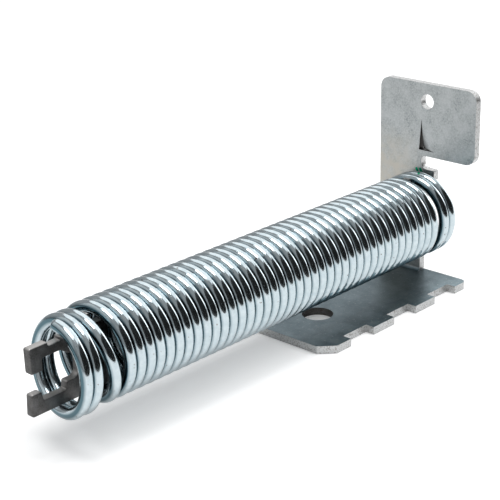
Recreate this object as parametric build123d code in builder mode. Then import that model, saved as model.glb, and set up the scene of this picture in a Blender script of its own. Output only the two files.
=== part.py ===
from build123d import *
import math
import os

# A dishwasher door spring lying on its side: a close-wound extension spring, a steel hook plate
# threaded into its near end, and a folded sheet bracket threaded into its far end.
# The axis of the spring runs along +X, 20 mm above the floor. The origin is on the underside of
# the bracket's base, below that axis, halfway along the base. All sizes are in millimetres.

# Driving sizes of the spring
wire_diameter = 2.76
coil_outer_diameter = 22.4
turn_clearance = 0.025
axis_height = 20.0
start_turn = 0.02
near_plain_turns = 2.0
near_gap = 3.8
body_turns = 39.0
far_gap = 2.1
end_turns = 1.55
gap_spread = 0.5
gap_shares = (0.25, 0.5, 0.25)
spring_end_clearance = 0.15

# Driving sizes of the bracket; places along the base count from its front edge
sheet = 2.0
bend_radius = 1.0
base_length = 57.6
near_side = -12.7
far_side = 15.2
front_corner_chamfer = 3.5
back_corner_radius = 1.8
base_hole_diameter = 8.0
base_hole_from_front = 15.2
base_hole_y = 3.5
notch_count = 3
notch_length = 9.0
notch_depth = 2.5
notch_pitch = 17.2
first_notch_from_front = 8.8
upright_top = 54.3
upright_corner_radius = 2.8
upright_hole_diameter = 4.0
upright_hole_height = 49.5
wide_part_bottom = 34.7
relief_slot_bottom = 31.1
relief_slot_end = 1.55
relief_slot_top_radius = 1.2
relief_slot_foot_radius = 1.7
neck_side = 1.4
finger_side = -2.6
finger_corner_radius = 0.3
finger_bottom = 28.4
lance_rise = 1.5
lance_height = 8.4
lance_slit_tip = 1.75
lance_slit_left = 2.4
lance_slit_right = 0.75
lance_cut_end = -2.65
lance_cut_height = 0.3
lance_push = 0.85

# Driving sizes of the tongue that holds the far end of the spring
tongue_height = 15.4
tongue_length = 16.0
tongue_ear_width = 1.1
tongue_ear_reach = 10.7
tongue_corner_radius = 3.0

# Driving sizes of the hook plate; a reach counts from the end of the spring's second turn
plate_thickness = 2.0
plate_height = 15.25
plate_drop = 8.2
plate_inner_reach = 9.55
plate_corner_radius = 2.0
ear_width = 2.0
ear_clearance = 0.3
ear_reach = 2.5
hook_reach = 11.55
hook_depth = 3.0
hook_tip_width = 3.2
hook_tip_depth = 5.8
hook_slope_reach = 3.45
hook_slope_length = 2.0
hook_slope_drop = 1.5
prong_reach = 12.2
prong_tip_lean = 0.35
prong_tip_height = 5.05
prong_tip_end_reach = 9.25
prong_notch_height = 3.05
prong_notch_end_reach = 2.95
prong_inner_height = 4.85
prong_wall_lean = 0.3
mouth_inner_reach = 0.75
mouth_corner_radius = 1.5
seat_reach = 6.65
seat_length = 3.2
seat_depth = 0.8
small_corner = 0.3
medium_corner = 0.5

# Sizes that follow
coil_radius = (coil_outer_diameter - wire_diameter) / 2
pitch = wire_diameter + turn_clearance
base_front = -base_length / 2
base_back = base_length / 2
upright_front = base_back - sheet
last_turn_x = upright_front - spring_end_clearance - wire_diameter / 2
far_group_x = last_turn_x - end_turns * pitch
body_end_x = far_group_x - gap_spread * pitch - far_gap
body_start_x = body_end_x - body_turns * pitch
near_group_x = body_start_x - gap_spread * pitch - near_gap
spring_start_x = near_group_x - (near_plain_turns - start_turn) * pitch
axis_of_spring = Axis((0, 0, axis_height), (1, 0, 0))
plate_bottom = axis_height - plate_drop
plate_top = plate_bottom + plate_height


# The spring: stretches of constant pitch, laid end to end. Each section lies in a plane through
# the axis, so that a close stretch and an open one share the same end face.
def wound_stretch(start_x, start_turn, turns, advance):
    """Sweep one stretch of wire; turns are counted from the top of the first turn."""
    angle = 2 * math.pi * start_turn
    outward = Vector(0, -math.sin(angle), math.cos(angle))
    forward = Vector(0, -math.cos(angle), -math.sin(angle))
    centre = Vector(start_x, 0, axis_height)
    raw = Helix(advance / turns, advance, coil_radius, centre, (1, 0, 0), mode=Mode.PRIVATE)
    lead = raw @ 0 - centre
    swing = math.degrees(math.atan2(outward.Z, outward.Y) - math.atan2(lead.Z, lead.Y))
    spine = raw.rotate(axis_of_spring, swing)
    section = Plane(origin=centre + outward * coil_radius, x_dir=outward, z_dir=forward)
    with BuildSketch(section) as wire_section:
        Circle(wire_diameter / 2)
    sweep(sections=wire_section.sketch, path=spine, is_frenet=True)


def opening_stretches(gap):
    """Turns and advances that open a gap smoothly over half a turn."""
    step = gap_spread / len(gap_shares)
    return [(step, step * pitch + gap * share) for share in gap_shares]


first_turns = near_plain_turns - start_turn
stretches = [(first_turns, first_turns * pitch)]
stretches += opening_stretches(near_gap)
stretches += [(body_turns, body_turns * pitch)]
stretches += opening_stretches(far_gap)
stretches += [(end_turns, end_turns * pitch)]

with BuildPart() as spring:
    station_x = spring_start_x
    station_turn = start_turn
    for turns, advance in stretches:
        wound_stretch(station_x, station_turn, turns, advance)
        station_x += advance
        station_turn += turns

# The hook plate: a flat stamping that stands on edge along the axis. Its two ears stand in the
# opened gap, close to the body's first turn: the upper one half a turn after the lower one.
upper_ear_right = body_start_x + pitch / 2 - wire_diameter / 2 - ear_clearance
upper_ear_left = upper_ear_right - ear_width
lower_ear_right = body_start_x - wire_diameter / 2 - ear_clearance
lower_ear_left = lower_ear_right - ear_width
plate_inner_end = near_group_x + plate_inner_reach
hook_left = near_group_x - hook_reach
hook_tip_right = hook_left + hook_tip_width
hook_underside = plate_top - hook_depth
hook_tip_bottom = plate_top - hook_tip_depth
hook_slope_start = near_group_x - hook_slope_reach
hook_slope_end = hook_slope_start + hook_slope_length
prong_left = near_group_x - prong_reach
prong_tip_top = plate_bottom + prong_tip_height
prong_tip_right = near_group_x - prong_tip_end_reach
prong_notch_floor = plate_bottom + prong_notch_height
prong_notch_end = near_group_x - prong_notch_end_reach
prong_inner_top = plate_bottom + prong_inner_height
mouth_end = near_group_x + mouth_inner_reach
seat_start = near_group_x - seat_reach
seat_end = seat_start + seat_length

plate_outline = [
    (hook_left, plate_top, medium_corner),
    (seat_start, plate_top, small_corner),
    (seat_start, plate_top - seat_depth, small_corner),
    (seat_end, plate_top - seat_depth, small_corner),
    (seat_end, plate_top, small_corner),
    (upper_ear_left, plate_top, small_corner),
    (upper_ear_left, plate_top + ear_reach, medium_corner),
    (upper_ear_right, plate_top + ear_reach, medium_corner),
    (upper_ear_right, plate_top, small_corner),
    (plate_inner_end, plate_top, plate_corner_radius),
    (plate_inner_end, plate_bottom, plate_corner_radius),
    (lower_ear_right, plate_bottom, small_corner),
    (lower_ear_right, plate_bottom - ear_reach, medium_corner),
    (lower_ear_left, plate_bottom - ear_reach, medium_corner),
    (lower_ear_left, plate_bottom, small_corner),
    (prong_left, plate_bottom, medium_corner),
    (prong_left + prong_tip_lean, prong_tip_top, medium_corner),
    (prong_tip_right, prong_tip_top, medium_corner),
    (prong_tip_right + prong_wall_lean, prong_notch_floor, small_corner),
    (prong_notch_end, prong_notch_floor, small_corner),
    (prong_notch_end + prong_wall_lean, prong_inner_top, medium_corner),
    (mouth_end, prong_inner_top, mouth_corner_radius),
    (mouth_end, hook_underside - hook_slope_drop, mouth_corner_radius),
    (hook_slope_end, hook_underside - hook_slope_drop, medium_corner),
    (hook_slope_start, hook_underside, medium_corner),
    (hook_tip_right, hook_underside, medium_corner),
    (hook_tip_right, hook_tip_bottom, medium_corner),
    (hook_left, hook_tip_bottom, medium_corner),
]

with BuildPart() as hook_plate:
    with BuildSketch(Plane.XZ):
        with BuildLine():
            corners = [(x, z) for x, z, radius in plate_outline]
            radii = [radius for x, z, radius in plate_outline]
            FilletPolyline(*corners, radius=radii, close=True)
        make_face()
    extrude(amount=plate_thickness / 2, both=True)

# The bracket: a base plate on the floor, an upright folded up from part of its back edge, and a
# tongue folded forward from the upright's neck into the spring.
first_notch_middle = base_front + first_notch_from_front + notch_length / 2
notch_middle = first_notch_middle + notch_pitch * (notch_count - 1) / 2
bend_outer_radius = bend_radius + sheet
bend_start_x = base_back - bend_outer_radius
tongue_bend_y = sheet / 2 + bend_radius
tongue_bottom = axis_height - tongue_height / 2
tongue_top = axis_height + tongue_height / 2
tongue_end_x = bend_start_x - tongue_length
lance_bottom = wide_part_bottom + lance_rise
lance_top = lance_bottom + lance_height
upper_far_ear_x = far_group_x - (pitch + far_gap) / 2
lower_far_ear_x = upper_far_ear_x + pitch / 2

# one radius for each corner of the upright's outline, from its far foot round to its near foot
upright_radii = [0]
upright_radii += [upright_corner_radius] * 3
upright_radii += [relief_slot_top_radius, relief_slot_foot_radius]
upright_radii += [finger_corner_radius] * 2
upright_radii += [0] * 4

with BuildPart() as bracket:
    # base plate, with its notched edge towards the near side
    with BuildSketch(Plane.XY):
        with BuildLine():
            Polyline(
                (base_front, near_side + front_corner_chamfer),
                (base_front + front_corner_chamfer, near_side),
                (base_back, near_side),
                (base_back, neck_side),
                (bend_start_x, neck_side),
                (bend_start_x, far_side),
                (base_front, far_side),
                close=True,
            )
        make_face()
        with Locations((notch_middle, near_side + notch_depth / 2)):
            with GridLocations(notch_pitch, 0, notch_count, 1):
                Rectangle(notch_length, notch_depth, mode=Mode.SUBTRACT)
        with Locations((base_front + base_hole_from_front, base_hole_y)):
            Circle(base_hole_diameter / 2, mode=Mode.SUBTRACT)
    extrude(amount=sheet)
    back_corner = bracket.edges().filter_by(Axis.Z).group_by(Axis.X)[-1].sort_by(Axis.Y)[0]
    fillet(back_corner, back_corner_radius)

    # the fold between the base and the upright
    with BuildSketch(Plane.XZ.offset(-far_side)):
        with BuildLine():
            Line((bend_start_x, 0), (bend_start_x, sheet))
            CenterArc((bend_start_x, bend_outer_radius), bend_radius, -90, 90)
            Line((upright_front, bend_outer_radius), (base_back, bend_outer_radius))
            CenterArc((bend_start_x, bend_outer_radius), bend_outer_radius, 0, -90)
        make_face()
    extrude(amount=far_side - neck_side)

    # the upright; below its wide part a relief slot leaves a finger, and below the finger the
    # edge steps back to the line where the tongue folds forward
    with BuildSketch(Plane.YZ.offset(upright_front)):
        with BuildLine():
            FilletPolyline(
                (far_side, bend_outer_radius),
                (far_side, upright_top),
                (-far_side, upright_top),
                (-far_side, wide_part_bottom),
                (relief_slot_end, wide_part_bottom),
                (relief_slot_end, relief_slot_bottom),
                (finger_side, relief_slot_bottom),
                (finger_side, finger_bottom),
                (tongue_bend_y, finger_bottom),
                (tongue_bend_y, tongue_bottom),
                (neck_side, tongue_bottom),
                (neck_side, bend_outer_radius),
                radius=upright_radii,
                close=True,
            )
        make_face()
        with Locations((0, upright_hole_height)):
            Circle(upright_hole_diameter / 2, mode=Mode.SUBTRACT)
        # the lance: a tapered slit, and a cut from its foot to the end of the hinge
        with BuildLine():
            Polyline(
                (lance_slit_tip, lance_top),
                (lance_slit_left, lance_bottom),
                (lance_cut_end, lance_bottom),
                close=True,
            )
        make_face(mode=Mode.SUBTRACT)
    extrude(amount=sheet)

    # the lanced corner, pushed back about the line between the two cuts' ends
    hinge_start = Vector(upright_front, lance_slit_tip, lance_top)
    hinge_end = Vector(upright_front, lance_cut_end, lance_bottom)
    free_corner = Vector(upright_front, lance_slit_right, lance_bottom + lance_cut_height)
    hinge = (hinge_end - hinge_start).normalized()
    reach = free_corner - hinge_start
    span = reach - hinge * reach.dot(hinge)
    pushed = (span + Vector(lance_push, 0, 0)).normalized()
    flap_plane = Plane(origin=hinge_start, x_dir=hinge, z_dir=hinge.cross(pushed))
    with BuildSketch(flap_plane):
        with BuildLine():
            Polyline(
                (0, 0),
                ((hinge_end - hinge_start).length, 0),
                (reach.dot(hinge), math.hypot(span.length, lance_push)),
                close=True,
            )
        make_face()
    extrude(amount=sheet * math.copysign(1, flap_plane.z_dir.X))

    # the tongue: folded forward at the neck, then straight along the axis, with two ears
    with BuildSketch(Plane.XY.offset(tongue_bottom)):
        with BuildLine():
            Line((base_back, tongue_bend_y), (upright_front, tongue_bend_y))
            CenterArc((bend_start_x, tongue_bend_y), bend_radius, 0, -90)
            Line((bend_start_x, sheet / 2), (bend_start_x, -sheet / 2))
            CenterArc((bend_start_x, tongue_bend_y), bend_outer_radius, -90, 90)
        make_face()
    extrude(amount=tongue_height)
    with BuildSketch(Plane.XZ) as tongue_face:
        with BuildLine():
            FilletPolyline(
                (bend_start_x, tongue_bottom),
                (bend_start_x, tongue_top),
                (tongue_end_x, tongue_top),
                (tongue_end_x, tongue_bottom),
                radius=[0, 0, tongue_corner_radius, tongue_corner_radius],
                close=True,
            )
        make_face()
        with Locations((upper_far_ear_x, axis_height + tongue_ear_reach / 2)):
            Rectangle(tongue_ear_width, tongue_ear_reach)
        with Locations((lower_far_ear_x, axis_height - tongue_ear_reach / 2)):
            Rectangle(tongue_ear_width, tongue_ear_reach)
    extrude(amount=sheet / 2, both=True)

spring.part.label = "spring"
hook_plate.part.label = "hook_plate"
bracket.part.label = "bracket"

os.makedirs("parts", exist_ok=True)
export_step(spring.part, "parts/spring.step")
export_step(hook_plate.part, "parts/hook_plate.step")
export_step(bracket.part, "parts/bracket.step")
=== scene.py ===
# %% [markdown]
# # A dishwasher door spring
#
# The part is a close-wound extension spring with a stamped hook plate in its near end and a
# folded bracket of galvanised sheet at its far end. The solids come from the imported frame, in
# metres. The sheet metal pieces keep their solids and get new finishes. The spring is wound
# again here as one smooth mesh, because bright wire shows every flat of a coarse one.

# %% Load the frame
import bmesh
import bpy
import math
from mathutils import Matrix, Vector


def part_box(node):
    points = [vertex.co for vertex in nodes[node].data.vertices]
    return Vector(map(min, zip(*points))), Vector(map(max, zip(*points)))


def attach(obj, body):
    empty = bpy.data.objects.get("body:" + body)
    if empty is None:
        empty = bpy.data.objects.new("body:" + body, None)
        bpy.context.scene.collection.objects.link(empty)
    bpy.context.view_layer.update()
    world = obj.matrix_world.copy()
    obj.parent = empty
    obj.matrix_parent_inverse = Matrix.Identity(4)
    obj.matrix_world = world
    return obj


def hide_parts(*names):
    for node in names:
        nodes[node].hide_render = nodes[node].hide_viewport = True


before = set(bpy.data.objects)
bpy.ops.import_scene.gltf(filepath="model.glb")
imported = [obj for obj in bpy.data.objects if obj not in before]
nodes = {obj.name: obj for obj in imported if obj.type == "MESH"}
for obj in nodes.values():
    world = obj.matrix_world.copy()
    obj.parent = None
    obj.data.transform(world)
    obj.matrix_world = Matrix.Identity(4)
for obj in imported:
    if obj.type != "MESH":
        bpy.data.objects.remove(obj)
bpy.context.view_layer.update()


MM = 0.001

# %% [markdown]
# ## The camera
#
# The photograph was taken from the hook end, a little above the part. The place, the heading and
# the focal length were measured on the part's own edges. A lens in millimetres is the focal
# length in pixels over the picture's width, times Blender's 36 mm sensor.

# %% Set up the camera
PICTURE = 500
SENSOR_MM = 36
FOCAL_PX = 1410.4
CENTRE_PX = (246.9, 250.5)
NEAREST_SEEN = 0.01
CAMERA_MM = (-264.15, -210.86, 145.09)
HEADING = math.radians(43.597)
DIP = math.radians(20.849)
ROLL = math.radians(-1.495)

forward = Vector((math.cos(HEADING), math.sin(HEADING), 0))
look = forward * math.cos(DIP) - Vector((0, 0, math.sin(DIP)))
level = Vector((math.sin(HEADING), -math.cos(HEADING), 0))
upward = level.cross(look)
across = level * math.cos(ROLL) + upward * math.sin(ROLL)
up = upward * math.cos(ROLL) - level * math.sin(ROLL)

camera_data = bpy.data.cameras.new("camera")
camera_data.lens = FOCAL_PX / PICTURE * SENSOR_MM
camera_data.sensor_width = SENSOR_MM
camera_data.shift_x = (PICTURE / 2 - CENTRE_PX[0]) / PICTURE
camera_data.shift_y = (CENTRE_PX[1] - PICTURE / 2) / PICTURE
camera_data.clip_start = NEAREST_SEEN
camera = bpy.data.objects.new("camera", camera_data)
bpy.context.scene.collection.objects.link(camera)
turned = Matrix((across, up, -look)).transposed().to_4x4()
camera.matrix_world = Matrix.Translation(Vector(CAMERA_MM) * MM) @ turned
bpy.context.scene.camera = camera
print("camera lens", round(camera_data.lens, 1), "mm")

# %% [markdown]
# ## Helpers
#
# Materials are node trees. A few small helpers keep them readable: one makes a material and gives
# back its tree and shader, one adds a node with its settings, and others do plain steps with
# numbers, vectors and colours. Two effects that several finishes share are node groups: a noise
# mask with a low and a high limit, and a mask round a short stroke.

# %% Material helpers


def new_material(name, **settings):
    """A material with a Principled shader, its plain settings written on the shader's sockets."""
    material = bpy.data.materials.new(name)
    material.use_nodes = True
    shader = material.node_tree.nodes["Principled BSDF"]
    for socket, value in settings.items():
        shader.inputs[socket.replace("_", " ")].default_value = value
    return material, material.node_tree, shader


def add_node(tree, kind, inputs=None, **properties):
    """One node, with properties set on it and values or links put into its inputs."""
    node = tree.nodes.new(kind)
    for name, value in properties.items():
        setattr(node, name, value)
    for name, value in (inputs or {}).items():
        if isinstance(value, bpy.types.NodeSocket):
            tree.links.new(value, node.inputs[name])
        else:
            node.inputs[name].default_value = value
    return node


def place(tree):
    """Object coordinates, in metres, the same in every view."""
    return add_node(tree, "ShaderNodeTexCoord").outputs["Object"]


def facing(tree):
    """The three parts of the surface's direction on the object."""
    normal = add_node(tree, "ShaderNodeTexCoord").outputs["Normal"]
    return add_node(tree, "ShaderNodeSeparateXYZ", {0: normal}).outputs


def arith(tree, operation, first, second=0.0):
    """One sum, product or other plain step with numbers or sockets."""
    return add_node(tree, "ShaderNodeMath", {0: first, 1: second}, operation=operation).outputs[0]


def ramp(tree, value, start, stop):
    """A mask that is 0 at a start value, 1 at a stop value, and even between them."""
    return add_node(
        tree, "ShaderNodeMapRange", {"Value": value, "From Min": start, "From Max": stop}
    ).outputs[0]


def vector_step(tree, operation, first, second=(0, 0, 0)):
    """The outputs of one plain step with vectors."""
    node = add_node(tree, "ShaderNodeVectorMath", {0: first, 1: second}, operation=operation)
    return node.outputs


def product(tree, *factors):
    """Several masks or numbers multiplied, so that a mask is 1 only where each one is."""
    result = factors[0]
    for factor in factors[1:]:
        result = arith(tree, "MULTIPLY", result, factor)
    return result


def new_group(name, vectors, numbers):
    """A node group with these inputs and one mask as its output, and the inputs' sockets."""
    group = bpy.data.node_groups.new(name, "ShaderNodeTree")
    for kind, names in (("NodeSocketVector", vectors), ("NodeSocketFloat", numbers)):
        for socket in names:
            group.interface.new_socket(socket, in_out="INPUT", socket_type=kind)
    group.interface.new_socket("Mask", in_out="OUTPUT", socket_type="NodeSocketFloat")
    return group, group.nodes.new("NodeGroupInput").outputs


def use_group(tree, group, values):
    """The mask of a node group, with its inputs set."""
    node = tree.nodes.new("ShaderNodeGroup")
    node.node_tree = group
    for name, value in values.items():
        node.inputs[name].default_value = value
    return node.outputs["Mask"]


def noise_group():
    """The noise that every finish here is mottled with."""
    group, given = new_group("noise_mask", (), ("Scale", "Detail", "Low", "High"))
    noise = add_node(
        group,
        "ShaderNodeTexNoise",
        {"Vector": place(group), "Scale": given["Scale"], "Detail": given["Detail"]},
    )
    mask = ramp(group, noise.outputs[0], given["Low"], given["High"])
    add_node(group, "NodeGroupOutput", {"Mask": mask})
    return group


def stroke_group():
    """A mask round the line from a start along a run, 0 outside one radius and 1 inside another."""
    group, given = new_group("stroke_mask", ("Start", "Run"), ("Outside", "Inside"))
    run = given["Run"]
    from_start = vector_step(group, "SUBTRACT", place(group), given["Start"])["Vector"]
    reached = vector_step(group, "DOT_PRODUCT", from_start, run)["Value"]
    whole = vector_step(group, "DOT_PRODUCT", run, run)["Value"]
    share = arith(group, "DIVIDE", reached, whole)
    clamped = add_node(group, "ShaderNodeClamp", {"Value": share}).outputs[0]
    nearest = add_node(group, "ShaderNodeVectorMath", {0: run, "Scale": clamped}, operation="SCALE")
    away = vector_step(group, "DISTANCE", from_start, nearest.outputs[0])["Value"]
    mask = ramp(group, away, given["Outside"], given["Inside"])
    add_node(group, "NodeGroupOutput", {"Mask": mask})
    return group


NOISE_MASK = noise_group()
STROKE_MASK = stroke_group()
STROKE_BLUR = 0.15


def noise_mask(tree, scale, low, high, detail=3.0):
    """Noise turned into a mask that runs from 0 at low to 1 at high."""
    return use_group(tree, NOISE_MASK, {"Scale": scale, "Detail": detail, "Low": low, "High": high})


def stroke(tree, start, stop, radius):
    """A mask round the line between two points in millimetres, with a narrow soft rim."""
    start, stop = Vector(start) * MM, Vector(stop) * MM
    rims = {
        "Outside": radius * MM * (1 + STROKE_BLUR),
        "Inside": radius * MM * (1 - STROKE_BLUR),
    }
    return use_group(tree, STROKE_MASK, {"Start": start, "Run": stop - start, **rims})


def blend_colours(tree, mask, first, second):
    """Mix of two colours by a mask."""
    mix = add_node(tree, "ShaderNodeMix", data_type="RGBA")
    for socket, value in ((mix.inputs[0], mask), (mix.inputs[6], first), (mix.inputs[7], second)):
        if isinstance(value, bpy.types.NodeSocket):
            tree.links.new(value, socket)
        else:
            socket.default_value = value
    return mix.outputs[2]


def blend_values(tree, mask, low, high):
    """A number that runs from low to high with a mask."""
    node = add_node(tree, "ShaderNodeMapRange", {"Value": mask, "To Min": low, "To Max": high})
    return node.outputs[0]


def lay_on(tree, shader, tint, roughness, grain, strength, depth):
    """Give a shader its colour, its roughness and a fine bump."""
    tree.links.new(tint, shader.inputs["Base Color"])
    tree.links.new(roughness, shader.inputs["Roughness"])
    bump = add_node(
        tree, "ShaderNodeBump", {"Height": grain, "Strength": strength, "Distance": depth}
    )
    tree.links.new(bump.outputs[0], shader.inputs["Normal"])


print("helpers:", NOISE_MASK.name, STROKE_MASK.name)

# %% [markdown]
# ## The wire
#
# The spring is one wire. Its centre runs round the axis once a turn and moves along by the pitch,
# with two places where the turns open to let a plate in. A smooth step opens each gap over half a
# turn, as the wire of the solid does. The front turns also lean and hang a little, because the
# hook plate pulls them aside. A tube of many sides is laid along that line by a formula, which
# keeps its sides even, where a curve's bevel would twist.

# %% Wind the wire
WIRE = 2.76 * MM
COIL = 22.4 * MM
AXIS_HEIGHT = 20.0 * MM
PITCH = 2.785 * MM
NEAR_GAP = 3.8 * MM
FAR_GAP = 2.1 * MM
NEAR_GAP_TURN = 2.0
FAR_GAP_TURN = 41.5
GAP_SPREAD = 0.5
FIRST_TURN = 0.0
LAST_TURN = 43.55
FRONT_LEAN = 1.15 * MM
LEAN_TURN = 0.11
FRONT_DROOP = 0.5 * MM
STEPS_PER_TURN = 66
SIDES = 32
CUT_ROUNDING = ((0.25, 0.0), (0.08, 0.06), (0.0, 0.25))
CUT_EDGE_ANGLE = math.radians(50)
DIRECTION_STEP = 0.001

_, spring_high = (Vector(corner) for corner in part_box("spring"))
coil_radius = (COIL - WIRE) / 2
last_x = spring_high.x - WIRE / 2


def smooth_step(value):
    """0 before 0, 1 after 1, and a smooth rise between."""
    value = min(max(value, 0.0), 1.0)
    return value * value * (3 - 2 * value)


def front_share(turn):
    """1 in the front turns that stand off the body, 0 in the body, and a smooth fall between."""
    return 1 - smooth_step((turn - NEAR_GAP_TURN) / GAP_SPREAD)


def wire_centre(turn):
    """The wire's centre, a number of turns after the first turn's top."""
    angle = 2 * math.pi * turn
    front = front_share(turn)
    lean = FRONT_LEAN * (1 - math.sin(angle - 2 * math.pi * LEAN_TURN)) - NEAR_GAP
    along = PITCH * turn + front * lean + FAR_GAP * smooth_step((turn - FAR_GAP_TURN) / GAP_SPREAD)
    y = -coil_radius * math.sin(angle)
    z = AXIS_HEIGHT + coil_radius * math.cos(angle) - FRONT_DROOP * front
    return Vector((along, y, z))


to_its_place = Vector((last_x - wire_centre(LAST_TURN).x, 0, 0))


def wire_frame(turn):
    """The wire's centre, the way out from the axis, and the way along the wire."""
    angle = 2 * math.pi * turn
    out = Vector((0, -math.sin(angle), math.cos(angle)))
    along = wire_centre(turn + DIRECTION_STEP) - wire_centre(turn - DIRECTION_STEP)
    along.normalize()
    out = (out - along * out.dot(along)).normalized()
    return wire_centre(turn) + to_its_place, out, along


def wound_wire():
    """A closed tube of wire from the first turn to the last, with slightly rounded cut ends.

    Each step of the rounding is how far the rim is drawn in and how far along the wire it lies,
    in millimetres.
    """
    steps = round((LAST_TURN - FIRST_TURN) * STEPS_PER_TURN)
    turns_per_mm = MM / (2 * math.pi * coil_radius)
    rings = []
    for inset, shift in CUT_ROUNDING:
        rings.append((FIRST_TURN + shift * turns_per_mm, WIRE / 2 - inset * MM))
    for i in range(1, steps):
        rings.append((FIRST_TURN + (LAST_TURN - FIRST_TURN) * i / steps, WIRE / 2))
    for inset, shift in reversed(CUT_ROUNDING):
        rings.append((LAST_TURN - shift * turns_per_mm, WIRE / 2 - inset * MM))
    vertices = []
    for turn, radius in rings:
        centre, out, along = wire_frame(turn)
        side = along.cross(out)
        for i in range(SIDES):
            angle = 2 * math.pi * i / SIDES
            outwards, sidewards = radius * math.cos(angle), radius * math.sin(angle)
            vertices.append(centre + out * outwards + side * sidewards)
    faces = []
    for ring in range(len(rings) - 1):
        for i in range(SIDES):
            a = ring * SIDES + i
            b = ring * SIDES + (i + 1) % SIDES
            faces.append((a, a + SIDES, b + SIDES, b))
    faces.append(tuple(range(SIDES)))
    faces.append(tuple((len(rings) - 1) * SIDES + i for i in reversed(range(SIDES))))
    mesh = bpy.data.meshes.new("spring_wire")
    mesh.from_pydata([tuple(v) for v in vertices], [], faces)
    mesh.shade_smooth()
    mesh.set_sharp_from_angle(angle=CUT_EDGE_ANGLE)
    return mesh


wire = bpy.data.objects.new("spring_wire", wound_wire())
bpy.context.scene.collection.objects.link(wire)
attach(wire, "root")
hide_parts("spring")
print("wire:", len(wire.data.vertices), "points, about", 2 * len(wire.data.polygons), "triangles")

# %% [markdown]
# ## The sheet metal
#
# Sheared and punched sheet never has a knife edge: a small rounded break catches the light all
# round it. The solids have plain corners, so each plate is copied, its flat faces are joined into
# single ones, and a narrow bevel is laid on every sharp edge. The pushed-back flap of the lance
# is widened behind its slit, and the hook plate is turned by a fraction of a degree about the end
# of the spring, as it hangs in the photograph.

# %% Break the edges of the plates
EDGE_BREAK = 0.26 * MM
BREAK_SEGMENTS = 2
SHARP_EDGE = math.radians(35)
SAME_POINT = 0.001 * MM
SAME_FLAT = math.radians(0.5)
FLAT_FACE_WEIGHT = 90
SHEET = 2.0 * MM
BASE_LENGTH = 57.6 * MM
LANCE_BOTTOM = 36.0 * MM
LANCE_TOP = 44.9 * MM
FLAP_BEHIND = 0.5 * MM
FLAP_EDGE = 1.3 * MM
FLAP_REACH = 0.85 * MM
PLATE_LEAN = math.radians(-0.9)


def edge_broken_copy(node_name, turn=None, adjust=None):
    """A copy of a sheet metal node with narrow bevels, riding in the node's place."""
    source = nodes[node_name]
    work = bmesh.new()
    work.from_mesh(source.data)
    bmesh.ops.remove_doubles(work, verts=work.verts, dist=SAME_POINT)
    bmesh.ops.dissolve_limit(work, angle_limit=SAME_FLAT, verts=work.verts, edges=work.edges)
    turned_source = (turn or Matrix.Identity(4)) @ source.matrix_world
    bmesh.ops.transform(work, matrix=turned_source, verts=work.verts)
    if adjust:
        adjust(work)
    bmesh.ops.recalc_face_normals(work, faces=work.faces)
    work.verts.index_update()
    points = [tuple(vertex.co) for vertex in work.verts]
    faces = [[vertex.index for vertex in face.verts] for face in work.faces]
    work.free()
    mesh = bpy.data.meshes.new(node_name + "_sheet")
    mesh.from_pydata(points, [], faces)
    mesh.shade_smooth()
    mesh.set_sharp_from_angle(angle=SHARP_EDGE)
    copy = bpy.data.objects.new(node_name + "_sheet", mesh)
    bpy.context.scene.collection.objects.link(copy)
    bevel = copy.modifiers.new("edge break", "BEVEL")
    bevel.width = EDGE_BREAK
    bevel.segments = BREAK_SEGMENTS
    bevel.limit_method = "ANGLE"
    bevel.angle_limit = SHARP_EDGE
    evened = copy.modifiers.new("flat faces stay flat", "WEIGHTED_NORMAL")
    evened.keep_sharp = False
    evened.weight = FLAT_FACE_WEIGHT
    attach(copy, "root")
    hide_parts(node_name)
    return copy


def widen_flap(work):
    """Let the lance's flap reach on behind the slit, so that no light shows through."""
    for vertex in work.verts:
        x, y, z = vertex.co
        low = (LANCE_TOP - z) / (LANCE_TOP - LANCE_BOTTOM)
        if x > upright_front + FLAP_BEHIND and 0 < y < FLAP_EDGE and 0 < low < 1:
            vertex.co.y += FLAP_REACH * low


_, plate_high = (Vector(corner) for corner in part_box("hook_plate"))
bracket_low, _ = (Vector(corner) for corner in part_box("bracket"))
upright_front = bracket_low.x + BASE_LENGTH - SHEET
pivot = Vector((plate_high.x, 0, AXIS_HEIGHT))
to_pivot = Matrix.Translation(pivot)
lean = to_pivot @ Matrix.Rotation(PLATE_LEAN, 4, "Y") @ to_pivot.inverted()
hook_sheet = edge_broken_copy("hook_plate", lean)
bracket_sheet = edge_broken_copy("bracket", adjust=widen_flap)
for piece in (hook_sheet, bracket_sheet):
    print(piece.name, len(piece.data.polygons), "faces before the bevel")

# %% [markdown]
# ## Bright zinc on the wire
#
# The wire is drawn steel with a thin, bright, slightly blue zinc plating. Most of its look is
# what it mirrors: the lamps above, the white floor below and the dark board beside the camera.
# The plating itself only adds a faint cloudiness, a few specks and a fine grain. Painted shade
# darkens the sides of the wire, in the grooves between the turns. The crest mask is 1 on the
# outside of the coil, 0 on the sides of the wire and -1 on the inside. A dab of green paint sits
# on the last turn. Each noise is given as a scale, a low limit and a high limit.

# %% Zinc plating
CLOUD_NOISE = (900, 0.35, 0.7)
ZINC_COLOURS = ((0.52, 0.61, 0.65, 1), (0.61, 0.69, 0.72, 1))
# The groove limits and colour are painted shade down the sides of the wire, between the turns.
GROOVE_SHADE_OUTER = (0.78, 0.36)
GROOVE_SHADE_INNER = (-0.6, -0.1)
GROOVE_SHADE_COLOUR = (0.09, 0.16, 0.19, 1)
SPECK_NOISE = (1300, 0.735, 0.775)
SPECK_DETAIL = 1
SPECK_COLOUR = (0.16, 0.13, 0.11, 1)
PAINT = (0.0, 0.33, 0.17, 1)
PAINT_RADIUS = 0.36
WIRE_PAINT = ((23.3, -0.2, 31.2), (22.0, -1.2, 31.1))
GLOSS_NOISE = (2500, 0.3, 0.7)
ZINC_ROUGHNESS = (0.11, 0.16)
ZINC_GRAIN = (5000, 0.2, 0.8)
ZINC_BUMP = (0.05, 0.00002)

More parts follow.
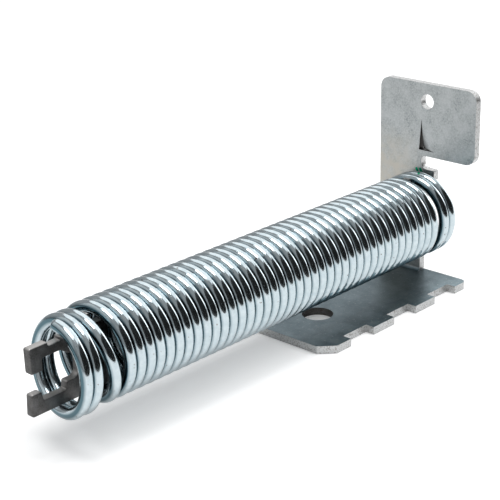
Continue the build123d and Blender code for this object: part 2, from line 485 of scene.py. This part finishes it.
zinc, tree, shader = new_material("bright_zinc", Metallic=1.0)
from_axis = vector_step(tree, "SUBTRACT", place(tree), (0, 0, AXIS_HEIGHT))["Vector"]
across_axis = vector_step(tree, "MULTIPLY", from_axis, (0, 1, 1))["Vector"]
outward = vector_step(tree, "NORMALIZE", across_axis)["Vector"]
surface = add_node(tree, "ShaderNodeTexCoord").outputs["Normal"]
crest = vector_step(tree, "DOT_PRODUCT", outward, surface)["Value"]

tint = blend_colours(tree, noise_mask(tree, *CLOUD_NOISE), *ZINC_COLOURS)
# Painted shade: the sides of the wire are darkened in the grooves between the turns.
groove_shade = product(tree, ramp(tree, crest, *GROOVE_SHADE_OUTER), ramp(tree, crest, *GROOVE_SHADE_INNER))
tint = blend_colours(tree, groove_shade, tint, GROOVE_SHADE_COLOUR)
specks = noise_mask(tree, *SPECK_NOISE, detail=SPECK_DETAIL)
tint = blend_colours(tree, specks, tint, SPECK_COLOUR)
tint = blend_colours(tree, stroke(tree, *WIRE_PAINT, PAINT_RADIUS), tint, PAINT)
gloss = blend_values(tree, noise_mask(tree, *GLOSS_NOISE), *ZINC_ROUGHNESS)
lay_on(tree, shader, tint, gloss, noise_mask(tree, *ZINC_GRAIN), *ZINC_BUMP)
wire.data.materials.append(zinc)
print("zinc on", wire.name)

# %% [markdown]
# ## Galvanised sheet on the bracket
#
# Hot-dip zinc is a mottled grey with a fine grain. The upright has a faint brown stain low on its
# far side. The base is painted darker and bluer than the upright, as painted shade and a painted
# reflection of the dark coil above it, with light sparks, and it has more painted shade under the
# coil. Where the sheet was sheared, its cut edges are bare and light, with a broken dark line
# along the upright's edges. The wall of the hole is painted dark, as painted shade in the hole,
# and the walls of the lanced slit are painted nearly black, as painted shade in the slit. Two dabs
# of green paint sit below the slit. A pair of limits says where a mask is 0 and where it is 1:
# heights are above the floor, and depths count from the upright's front. The places of the hole
# and of the paint are in millimetres.

# %% Galvanised sheet
PATCH_NOISE = (260, 0.36, 0.64)
PATCH_DETAIL = 5
UPRIGHT_COLOURS = ((0.25, 0.275, 0.28, 1), (0.40, 0.425, 0.43, 1))
FINE_NOISE = (2400, 0.30, 0.70)
FINE_SHARE = 0.8
FINE_COLOUR = (0.52, 0.545, 0.55, 1)

STAIN_HEIGHTS = (42.0 * MM, 31.5 * MM)
STAIN_SIDES = (0.0, 9.12 * MM)
STAIN_NOISE = (500, 0.25, 0.6)
STAIN_SHARE = 0.8
STAIN_COLOUR = (0.47, 0.445, 0.39, 1)

BASE_HEIGHTS = (3.2 * MM, 2.2 * MM)
# The base's colours and its grain's colour are painted shade and a painted reflection of the coil.
BASE_SHADED_COLOURS = ((0.105, 0.168, 0.195, 1), (0.26, 0.345, 0.38, 1))
BASE_FINE_SHARE = 0.4
BASE_SHADED_FINE_COLOUR = (0.34, 0.39, 0.41, 1)
SPARK_NOISE = (1500, 0.62, 0.72)
SPARK_COLOUR = (0.55, 0.59, 0.60, 1)
# Painted shade under the coil, on the base.
UNDER_COIL_SHADE_SPAN = (2.0 * MM, 11.0 * MM)
UNDER_COIL_SHADE_SHARE = 0.68
UNDER_COIL_SHADE_COLOUR = (0.028, 0.05, 0.062, 1)

TURNED_AWAY = (0.3, 0.6)
TURNED_UP = (0.2, 0.5)
ABOVE_BEND = (4.0 * MM, 6.0 * MM)
BELOW_BEND = (2.0 * MM, 1.9 * MM)
BURR_NOISE = (2600, 0.34, 0.5)
BURR_COLOURS = ((0.32, 0.31, 0.30, 1), (0.60, 0.61, 0.61, 1))
HOLE_FROM_FRONT = 15.2
HOLE_Y = 3.5
HOLE_DEPTHS = (-2.0, 4.0)
HOLE_RIM = 4.4
# Painted shade on the wall of the hole.
HOLE_SHADE_COLOUR = (0.10, 0.085, 0.075, 1)
LINE_START = (0.25, 0.45)
LINE_STOP = (0.985, 0.93)
LINE_HEIGHTS = (20.0 * MM, 21.0 * MM)
LINE_NOISE = (2200, 0.40, 0.52)
LINE_COLOUR = (0.07, 0.062, 0.055, 1)

LANCE_LOW = (LANCE_BOTTOM, LANCE_BOTTOM * 1.005)
LANCE_HIGH = (LANCE_TOP, LANCE_TOP * 0.99)
LANCE_SIDES = (2.9 * MM, 2.813 * MM)
LANCE_BACK = (1.96 * MM, 1.8 * MM)
LANCE_DEPTHS = (0.24 * MM, 0.84 * MM)
LANCE_WALLS = (0.995, 0.97)
# Painted shade on the walls of the lanced slit.
LANCE_SHADE_COLOUR = (0.02, 0.018, 0.016, 1)
PLATE_PAINT = (((26.8, 3.1, 30.8), (26.8, 2.6, 30.0)), ((26.8, 1.9, 30.9), (26.8, 1.4, 30.1)))
SHEET_ROUGHNESS = (0.30, 0.44)
SHEET_BUMP = (0.3, 0.00005)

galvanised, tree, shader = new_material("galvanised_sheet", Metallic=1.0)
normal_x, normal_y, normal_z = facing(tree)
along, side, height = add_node(tree, "ShaderNodeSeparateXYZ", {0: place(tree)}).outputs
off_front = arith(tree, "ABSOLUTE", normal_x)

patches = noise_mask(tree, *PATCH_NOISE, detail=PATCH_DETAIL)
fine = noise_mask(tree, *FINE_NOISE)
tint = blend_colours(tree, patches, *UPRIGHT_COLOURS)
tint = blend_colours(tree, product(tree, fine, FINE_SHARE), tint, FINE_COLOUR)
stain = product(
    tree,
    ramp(tree, height, *STAIN_HEIGHTS),
    ramp(tree, side, *STAIN_SIDES),
    noise_mask(tree, *STAIN_NOISE),
    STAIN_SHARE,
)
tint = blend_colours(tree, stain, tint, STAIN_COLOUR)

on_base = ramp(tree, height, *BASE_HEIGHTS)
# Painted shade and reflection: the base is darker and bluer than the upright, with its own mottle.
base_mottle_and_shade = blend_colours(tree, patches, *BASE_SHADED_COLOURS)
base_mottle_and_shade = blend_colours(tree, product(tree, fine, BASE_FINE_SHARE), base_mottle_and_shade, BASE_SHADED_FINE_COLOUR)
base_mottle_and_shade = blend_colours(tree, noise_mask(tree, *SPARK_NOISE), base_mottle_and_shade, SPARK_COLOUR)
tint = blend_colours(tree, on_base, tint, base_mottle_and_shade)
# Painted shade: the base is darkened under the coil.
from_edge = arith(tree, "SUBTRACT", side, bracket_low.y)
under_coil_shade = product(tree, on_base, ramp(tree, from_edge, *UNDER_COIL_SHADE_SPAN), UNDER_COIL_SHADE_SHARE)
tint = blend_colours(tree, under_coil_shade, tint, UNDER_COIL_SHADE_COLOUR)

sideways = ramp(tree, arith(tree, "ABSOLUTE", normal_y), *TURNED_AWAY)
on_top = product(tree, ramp(tree, normal_z, *TURNED_UP), ramp(tree, height, *ABOVE_BEND))
on_front = product(tree, ramp(tree, off_front, *TURNED_AWAY), ramp(tree, height, *BELOW_BEND))
cut_edge = arith(tree, "MAXIMUM", sideways, arith(tree, "MAXIMUM", on_top, on_front))
burr = blend_colours(tree, noise_mask(tree, *BURR_NOISE), *BURR_COLOURS)
tint = blend_colours(tree, cut_edge, tint, burr)
hole_x = bracket_low.x / MM + HOLE_FROM_FRONT
hole_ends = ((hole_x, HOLE_Y, depth) for depth in HOLE_DEPTHS)
# Painted shade: the wall of the hole is darkened.
hole_wall_shade = product(tree, cut_edge, stroke(tree, *hole_ends, HOLE_RIM))
tint = blend_colours(tree, hole_wall_shade, tint, HOLE_SHADE_COLOUR)
dark_line = product(
    tree,
    ramp(tree, off_front, *LINE_START),
    ramp(tree, off_front, *LINE_STOP),
    ramp(tree, height, *LINE_HEIGHTS),
    noise_mask(tree, *LINE_NOISE),
)
tint = blend_colours(tree, dark_line, tint, LINE_COLOUR)

behind_front = arith(tree, "SUBTRACT", along, upright_front)
in_lance = product(
    tree,
    ramp(tree, height, *LANCE_LOW),
    ramp(tree, height, *LANCE_HIGH),
    ramp(tree, arith(tree, "ABSOLUTE", side), *LANCE_SIDES),
    ramp(tree, behind_front, *LANCE_BACK),
)
sunk = ramp(tree, behind_front, *LANCE_DEPTHS)
is_wall = arith(tree, "MAXIMUM", sunk, ramp(tree, off_front, *LANCE_WALLS))
# Painted shade: the walls of the lanced slit are nearly black.
lance_wall_shade = product(tree, in_lance, is_wall)
tint = blend_colours(tree, lance_wall_shade, tint, LANCE_SHADE_COLOUR)
for start, stop in PLATE_PAINT:
    tint = blend_colours(tree, stroke(tree, start, stop, PAINT_RADIUS), tint, PAINT)
lay_on(tree, shader, tint, blend_values(tree, fine, *SHEET_ROUGHNESS), fine, *SHEET_BUMP)
bracket_sheet.data.materials.clear()
bracket_sheet.data.materials.append(galvanised)
print("galvanised sheet on", bracket_sheet.name)

# %% [markdown]
# ## Bare steel on the hook plate
#
# The plate is plain stamped steel, dark grey and slightly brown. Its upward edges are painted
# lighter than its flat faces, as a painted highlight on the faces that look up.

# %% Hook plate steel
STEEL_PATCHES = (500, 0.35, 0.65)
STEEL_COLOURS = ((0.060, 0.057, 0.055, 1), (0.115, 0.114, 0.113, 1))
STEEL_FINE = (3000, 0.3, 0.7)
STEEL_FINE_SHARE = 0.4
STEEL_FINE_COLOUR = (0.21, 0.21, 0.21, 1)
# A painted highlight on the plate's upward edges.
UPWARD_HIGHLIGHT = (0.2, 0.8)
UPWARD_HIGHLIGHT_COLOUR = (0.44, 0.43, 0.42, 1)
STEEL_ROUGHNESS = (0.38, 0.50)
STEEL_BUMP = (0.3, 0.00004)

hook_steel, tree, shader = new_material("hook_plate_steel", Metallic=1.0)
_, _, normal_z = facing(tree)
fine = noise_mask(tree, *STEEL_FINE)
tint = blend_colours(tree, noise_mask(tree, *STEEL_PATCHES), *STEEL_COLOURS)
tint = blend_colours(tree, product(tree, fine, STEEL_FINE_SHARE), tint, STEEL_FINE_COLOUR)
# Painted highlight: the upward edges are lighter.
tint = blend_colours(tree, ramp(tree, normal_z, *UPWARD_HIGHLIGHT), tint, UPWARD_HIGHLIGHT_COLOUR)
lay_on(tree, shader, tint, blend_values(tree, fine, *STEEL_ROUGHNESS), fine, *STEEL_BUMP)
hook_sheet.data.materials.clear()
hook_sheet.data.materials.append(hook_steel)
print("steel on", hook_sheet.name)

# %% [markdown]
# ## The studio
#
# Bright wire looks like what it mirrors, so each lamp and board has a place that can be told from
# the photograph. A large soft lamp over the far end makes the broad white bands on top of the
# turns, and a smaller lamp in its middle makes them fall off softly towards their ends. A dark
# board along the camera's side makes the near-black streaks half way down, and a small lamp past
# its right end draws the white line beside each streak. A lamp overhead and one above the
# camera's side light the floor, which keeps the shadow close under the coil, and one at the left
# lights the faces of the sheets. The two lamps of the bands and the dark board show in the metal
# alone, and the floor's own lamp doesn't show in it. To the camera the floor glows a little,
# because the photograph's background is pure white. The board and the lamps are hidden from the
# camera, so the part can be seen from every side.

# %% Floor, boards, lamps and world
FLOOR_SIZE = 8
BELOW_BASE = 0.0001
FLOOR_COLOUR = (0.92, 0.92, 0.92)
FLOOR_GLOW = 0.22
BOARD_COLOUR = (0.003, 0.003, 0.003)
PART_MIDDLE = (0, 0, 0.02)
TOP_LAMP_PLACE = (0.545, 0.1, 0.71)
WORLD_COLOUR = (0.99, 0.99, 1, 1)
WORLD_STRENGTH = 0.37


def stage_plane(name, middle, width, height, towards, colour):
    """A flat, dull board of the studio, facing a direction."""
    mesh = bpy.data.meshes.new(name)
    w, h = width / 2, height / 2
    mesh.from_pydata([(-w, -h, 0), (w, -h, 0), (w, h, 0), (-w, h, 0)], [], [(0, 1, 2, 3)])
    board = bpy.data.objects.new(name, mesh)
    bpy.context.scene.collection.objects.link(board)
    turn = Vector(towards).to_track_quat("Z", "Y")
    board.matrix_world = Matrix.Translation(Vector(middle)) @ turn.to_matrix().to_4x4()
    material, _, _ = new_material(name, Base_Color=(*colour, 1), Roughness=1.0)
    mesh.materials.append(material)
    return board


def soft_lamp(name, place_at, aim, width, height, power):
    """A rectangular area lamp that points at a spot."""
    data = bpy.data.lights.new(name, "AREA")
    data.shape = "RECTANGLE"
    data.size = width
    data.size_y = height
    data.energy = power
    lamp = bpy.data.objects.new(name, data)
    bpy.context.scene.collection.objects.link(lamp)
    lamp.visible_camera = False
    turn = (Vector(aim) - Vector(place_at)).to_track_quat("-Z", "Y")
    lamp.matrix_world = Matrix.Translation(Vector(place_at)) @ turn.to_matrix().to_4x4()
    return lamp


floor = stage_plane("floor", (0, 0, -BELOW_BASE), FLOOR_SIZE, FLOOR_SIZE, (0, 0, 1), FLOOR_COLOUR)
tree = floor.data.materials[0].node_tree
seen_straight = add_node(tree, "ShaderNodeLightPath").outputs["Is Camera Ray"]
floor_paint = tree.nodes["Principled BSDF"]
floor_paint.inputs["Emission Color"].default_value = (1, 1, 1, 1)
tree.links.new(product(tree, seen_straight, FLOOR_GLOW), floor_paint.inputs["Emission Strength"])

dark_board = stage_plane(
    "dark_board", (-0.101, -0.245, 0.18), 0.67, 0.36, (-0.317, 0.948, 0), BOARD_COLOUR
)
dark_board.visible_camera = False
dark_board.visible_diffuse = False
dark_board.visible_shadow = False
top_lamp = soft_lamp("top_lamp", TOP_LAMP_PLACE, PART_MIDDLE, 1.75, 1.30, 6.9)
top_core = soft_lamp("top_core", TOP_LAMP_PLACE, PART_MIDDLE, 1.44, 1.02, 2.0)
top_lamp.visible_diffuse = False
top_core.visible_diffuse = False
floor_lamp = soft_lamp("floor_lamp", (0.22, -0.38, 0.80), (0, 0, 0), 0.8, 0.8, 5.4)
floor_lamp.visible_glossy = False
soft_lamp("right_lamp", (0.78, -0.07, 0.20), PART_MIDDLE, 0.36, 0.34, 0.9)
soft_lamp("overhead_lamp", (-0.15, 0.0, 0.95), (-0.05, 0, 0), 0.45, 0.45, 4.0)
soft_lamp("left_lamp", (-0.60, 0.35, 0.45), PART_MIDDLE, 0.8, 0.6, 0.6)

world = bpy.data.worlds.new("studio")
world.use_nodes = True
background = world.node_tree.nodes["Background"].inputs
background["Color"].default_value = WORLD_COLOUR
background["Strength"].default_value = WORLD_STRENGTH
bpy.context.scene.world = world
bpy.context.scene.view_settings.view_transform = "Standard"
print("studio: floor, dark board,", len(bpy.data.lights), "lamps")
